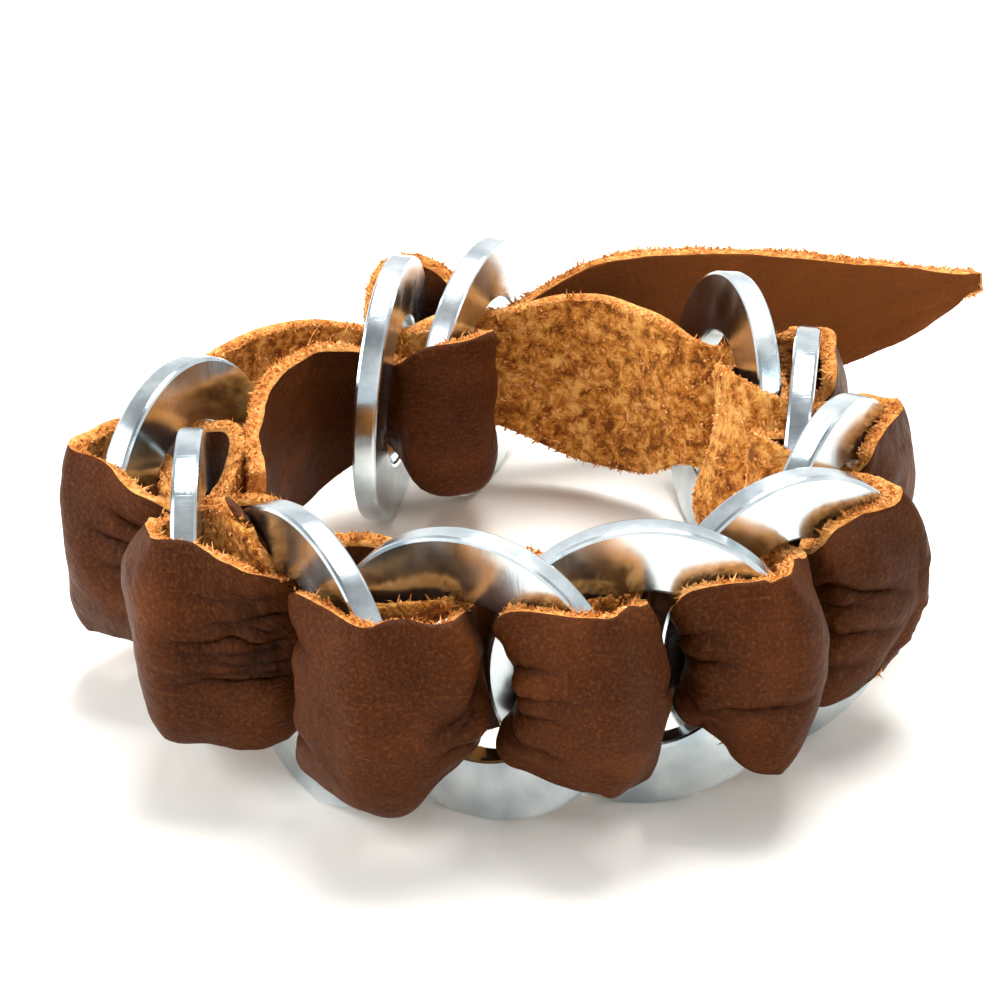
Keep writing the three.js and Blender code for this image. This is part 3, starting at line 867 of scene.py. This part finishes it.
# %% Spikes bent to their places
SPIKE_HEIGHTS = (0.0, 1.0, 2.0)     # of base, knee and tip, for the three rows below
SPIKE_WIDTH = (1.0, 0.8, 0.0)
SPIKE_FORWARD = (0.0, 0.6, 0.65)
SPIKE_BEND = (0.0, 0.15, 0.8)


def add_fibres(name, roots, ways, bends, lengths, widths):
    """Closed three-sided spikes from roots, along ways, bending to bends. All lengths in mm."""
    fibres = add_piece(name, spikes(len(roots)))
    straight = np.empty(len(fibres.data.vertices) * 3)
    fibres.data.vertices.foreach_get("co", straight)
    x, y, z = straight.reshape(len(roots), -1, 3).transpose(2, 0, 1)[..., None]
    ways = ways / np.linalg.norm(ways, axis=1)[:, None]
    side = np.cross(ways, bends)
    side /= np.maximum(np.linalg.norm(side, axis=1), 1e-6)[:, None]
    other = np.cross(ways, side)
    thick = np.interp(z, SPIKE_HEIGHTS, SPIKE_WIDTH) * widths[:, None, None] / 2
    bent = (ways[:, None] * np.interp(z, SPIKE_HEIGHTS, SPIKE_FORWARD)
            + bends[:, None] * np.interp(z, SPIKE_HEIGHTS, SPIKE_BEND)) * lengths[:, None, None]
    points = roots[:, None] + (side[:, None] * x + other[:, None] * y) * thick + bent
    fibres.data.vertices.foreach_set("co", (points * MM).ravel())
    fibres.data.update()
    fibres.data.materials.append(fuzz)
    print(name, len(roots), "fibres")
    return fibres


# %% Places on the strap
def pick_on_strap(stations_at, columns_at):
    """Places, grain directions, forward and upward directions at parts of squares of the strap."""
    i, j = stations_at.astype(int), columns_at.astype(int)
    di, dj = (stations_at - i)[:, None], (columns_at - j)[:, None]
    i1, j1 = np.minimum(i + 1, len(stations) - 1), np.minimum(j + 1, CROSSWAYS)
    root = (surface[i, j] * (1 - di) * (1 - dj) + surface[i1, j] * di * (1 - dj)
            + surface[i, j1] * (1 - di) * dj + surface[i1, j1] * di * dj)
    return root, grain_way[i, j], run_way[i, j], rise_way[i, j]


grain_way = surface_normals(surface)
run_way = np.gradient(surface, axis=0)
run_way /= np.maximum(np.linalg.norm(run_way, axis=2), 1e-9)[:, :, None]
rise_way = np.cross(grain_way, run_way)
chance = np.random.default_rng(11)
STRAP_END = reach[-1] - 1.0     # the last millimetre of the point stays bare
print("fibres grow on", round(float(STRAP_END)), "mm")

# %% Fuzz on the long edges
# Most of it shows on the upper edge. A few fibres have come loose: they are long, and half as wide.
EDGE_FIBRES = 15500
UPPER_SHARE = 0.62
LOOSE_SHARE = 0.012
LOOSE_LENGTH = 3.2
at_length = chance.uniform(0, STRAP_END, EDGE_FIBRES)
at_station = np.interp(at_length, reach, np.arange(len(reach)))
top_edge = chance.random(EDGE_FIBRES) < UPPER_SHARE
column = np.where(top_edge, CROSSWAYS - 0.001, 0.0)
root, outward, run, rise_there = pick_on_strap(at_station, column)
depth = -THICKNESS / 2 + THICKNESS * chance.random(EDGE_FIBRES) ** 1.7 * 0.75
off_edge = rise_there * np.where(top_edge, 1.0, -1.0)[:, None]
ways = (off_edge * chance.uniform(0.2, 1.0, (EDGE_FIBRES, 1))
        - outward * chance.uniform(-0.1, 1.0, (EDGE_FIBRES, 1))
        + run * chance.normal(0, 0.55, (EDGE_FIBRES, 1)))
bends = chance.normal(0, 0.75, (EDGE_FIBRES, 3))
tufts = np.array([noise.noise((s / 2.2, 0.0, 5.0)) for s in at_length])
lengths = chance.uniform(0.2, 0.65, EDGE_FIBRES) * (1.0 + 0.9 * np.clip(tufts, -0.6, 1.0))
loose = chance.random(EDGE_FIBRES) < LOOSE_SHARE
lengths *= np.where(loose, LOOSE_LENGTH, 1.0)
widths = chance.uniform(0.16, 0.38, EDGE_FIBRES) * np.where(loose, 0.5, 1.0)
edge_fuzz = add_fibres("strap_edge_fuzz", root + outward * depth[:, None], ways, bends, lengths,
                       widths)

# %% Nap on the flesh side
# These fibres lie down in all directions, and only their tips stand up.
NAP_FIBRES = 17500
ROOT_DEPTH = 0.06       # of their roots in the leather
at_length = chance.uniform(0, STRAP_END, NAP_FIBRES)
at_station = np.interp(at_length, reach, np.arange(len(reach)))
column = chance.uniform(0, CROSSWAYS, NAP_FIBRES)
root, outward, run, rise_there = pick_on_strap(at_station, column)
turn = chance.uniform(0, 2 * math.pi, NAP_FIBRES)[:, None]
lying = run * np.cos(turn) + rise_there * np.sin(turn)
ways = lying * chance.uniform(0.5, 1.2, (NAP_FIBRES, 1)) - outward * 0.45
bends = -lying * 0.2 + outward * 0.55 + chance.normal(0, 0.3, (NAP_FIBRES, 3))
lengths = chance.uniform(0.5, 1.1, NAP_FIBRES)
widths = chance.uniform(0.18, 0.42, NAP_FIBRES)
suede_nap = add_fibres("strap_suede_nap", root - outward * (THICKNESS / 2 - ROOT_DEPTH), ways,
                       bends, lengths, widths)
